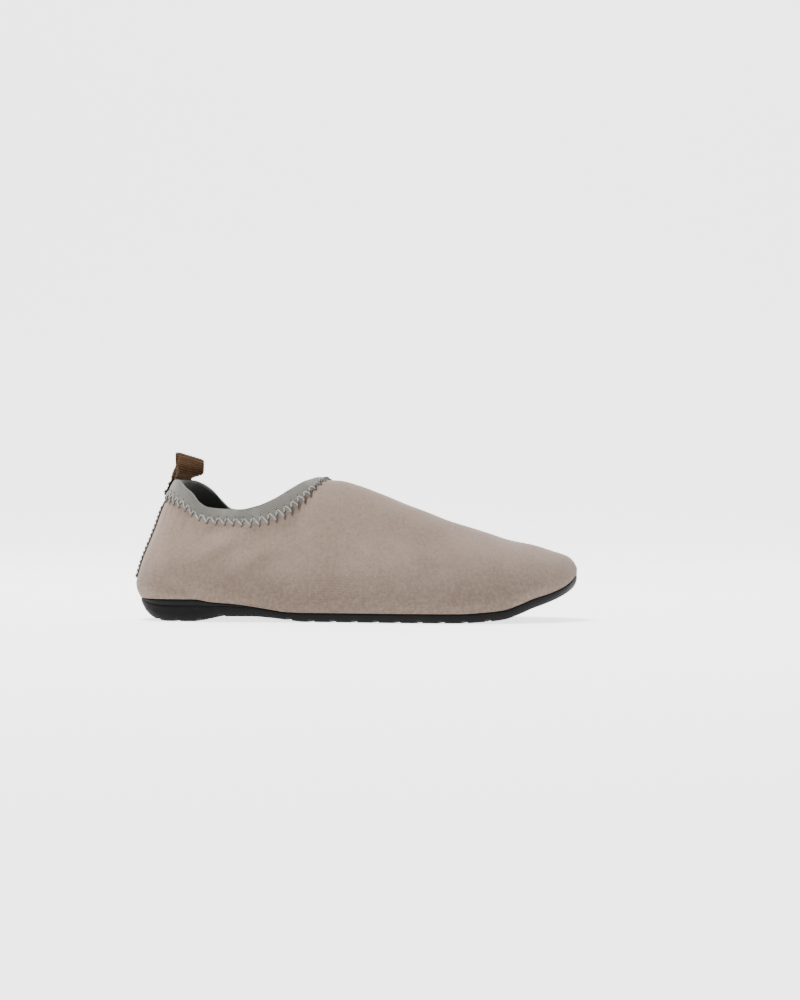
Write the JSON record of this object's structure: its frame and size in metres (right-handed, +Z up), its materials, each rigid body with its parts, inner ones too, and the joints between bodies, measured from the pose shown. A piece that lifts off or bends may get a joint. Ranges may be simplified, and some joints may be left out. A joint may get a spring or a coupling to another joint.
{
  "type": "water shoe",
  "caption": "Slip-on water shoe with a stretch fabric upper, folded elastic collar, heel pull loop and thin rubber cup sole.",
  "frame": {"origin": "on the floor under the middle of the shoe's overall box", "axes": "+X towards the toe, +Y towards the medial (inner) side, +Z up"},
  "size_m": [0.2558, 0.095, 0.0974],
  "materials": {
    "sole_rubber": "satin moulded rubber, near black",
    "stretch_fabric": "matt fine-knit stretch fabric, taupe",
    "insole_foam": "matt fabric-faced foam, dark grey",
    "binding_elastic": "soft ribbed elastic, light grey",
    "heel_tape": "matt woven tape, dark brown",
    "loop_webbing": "ribbed woven webbing with a slight sheen, brown"
  },
  "bodies": {
    "root": {"outsole": "sole_rubber", "insole": "insole_foam", "upper": "stretch_fabric", "collar_binding": "binding_elastic", "heel_tape": "heel_tape", "pull_loop": "loop_webbing"}
  },
  "joints": []
}
